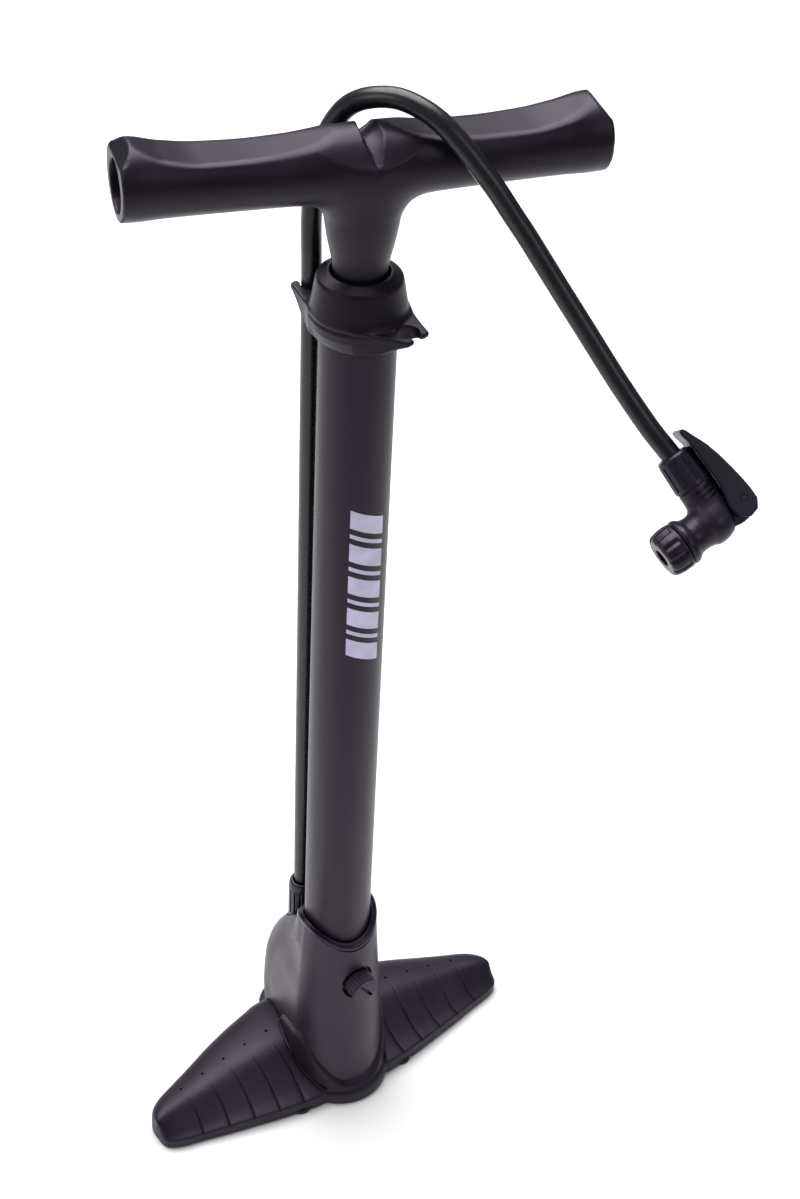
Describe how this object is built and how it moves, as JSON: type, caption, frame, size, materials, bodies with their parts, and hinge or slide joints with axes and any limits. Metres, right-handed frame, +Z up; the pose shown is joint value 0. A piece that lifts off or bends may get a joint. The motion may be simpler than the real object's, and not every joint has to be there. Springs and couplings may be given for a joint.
{
  "type": "bicycle floor pump",
  "caption": "Upright floor pump with a T-handle, a single barrel on a two-winged foot, and a hose with a lever head draped over the handle.",
  "frame": {"origin": "the floor under the barrel's axis", "axes": "+Z up along the barrel, wings of the foot along X, the front with the plug faces -Y, the hose leaves at the back, +Y"},
  "size_m": [0.2416, 0.2359, 0.649],
  "materials": {
    "foot_plastic": "fine satin moulding texture",
    "tower_plastic": "satin moulding",
    "trim_plastic": "semi-gloss moulding",
    "barrel_paint": "matt powder coat",
    "cap_plastic": "satin moulding",
    "handle_plastic": "satin moulding with a fine grain",
    "knob_plastic": "satin moulding",
    "head_plastic": "satin moulding",
    "hose_rubber": "smooth, satin",
    "seal_rubber": "matt",
    "plated_steel": "zinc plated",
    "chrome_rod": "polished",
    "brass_part": "turned"
  },
  "bodies": {
    "pump_body": {"base_foot": "foot_plastic", "foot_pad_1": "seal_rubber", "foot_pad_2": "seal_rubber", "foot_pad_3": "seal_rubber", "foot_pad_4": "seal_rubber", "base_screw_1": "plated_steel", "base_screw_2": "plated_steel", "base_screw_3": "plated_steel", "tower_housing": "tower_plastic", "collar_trim": "trim_plastic", "barrel_tube": "barrel_paint", "barrel_gasket": "seal_rubber", "valve_block": "foot_plastic", "check_valve_spring": "plated_steel", "outlet_elbow": "trim_plastic", "gland_nut": "trim_plastic", "top_cap": "cap_plastic", "rod_guide": "foot_plastic", "rod_wiper": "seal_rubber", "top_buffer": "seal_rubber", "hose_lower": "hose_rubber"},
    "piston_group": {"piston_body": "foot_plastic", "piston_cup": "seal_rubber", "hose_upper": "hose_rubber", "head_body": "head_plastic", "head_collar": "head_plastic", "lever_pin": "plated_steel", "chuck_grommet": "seal_rubber"},
    "plunger": {"piston_rod": "chrome_rod", "handle": "handle_plastic", "rod_insert": "brass_part", "piston_washer": "plated_steel", "piston_nut": "plated_steel"},
    "pressure_plug": {"valve_plug": "knob_plastic", "valve_plug_seal": "seal_rubber"},
    "check_disc": {"check_valve_disc": "seal_rubber"},
    "lever": {"thumb_lever": "head_plastic"},
    "clamp": {"push_pin": "plated_steel", "chuck_sleeve": "brass_part"},
    "cap_ring": {"chuck_cap": "head_plastic"}
  },
  "joints": [
    {"name": "handle_stroke", "type": "slide", "parent": "pump_body", "child": "piston_group", "axis": [0, 0, 1], "range_m": [0, 0.39]},
    {"name": "handle_turn", "type": "hinge", "parent": "piston_group", "child": "plunger", "pos_m": [0, 0, 0.6168], "axis": [0, 0, 1], "range_deg": [0, 25]},
    {"name": "plug_turn", "type": "hinge", "parent": "pump_body", "child": "pressure_plug", "pos_m": [0, -0.033, 0.0935], "axis": [0, -1, 0], "range_deg": [0, 720]},
    {"name": "valve_lift", "type": "slide", "parent": "pump_body", "child": "check_disc", "axis": [0, 0, -1], "range_m": [0, 0.002], "stiffness_N_per_m": 200, "springref_m": -0.002, "deforming": ["check_valve_spring"]},
    {"name": "lever_flip", "type": "hinge", "parent": "piston_group", "child": "lever", "pos_m": [0.11119, -0.15711, 0.4854], "axis": [0.3476, 0.7054, -0.6177], "range_deg": [0, 75]},
    {"name": "clamp_travel", "type": "slide", "parent": "piston_group", "child": "clamp", "axis": [-0.9012, 0.0694, -0.4279], "range_m": [0, 0.0015]},
    {"name": "cap_turn", "type": "hinge", "parent": "piston_group", "child": "cap_ring", "pos_m": [0.07437, -0.1551, 0.46697], "axis": [-0.9012, 0.0694, -0.4279], "range_deg": [0, 720]}
  ],
  "couplings": [
    {"joint": "lever_flip", "follows": "clamp_travel", "rad_per_m": 870}
  ]
}
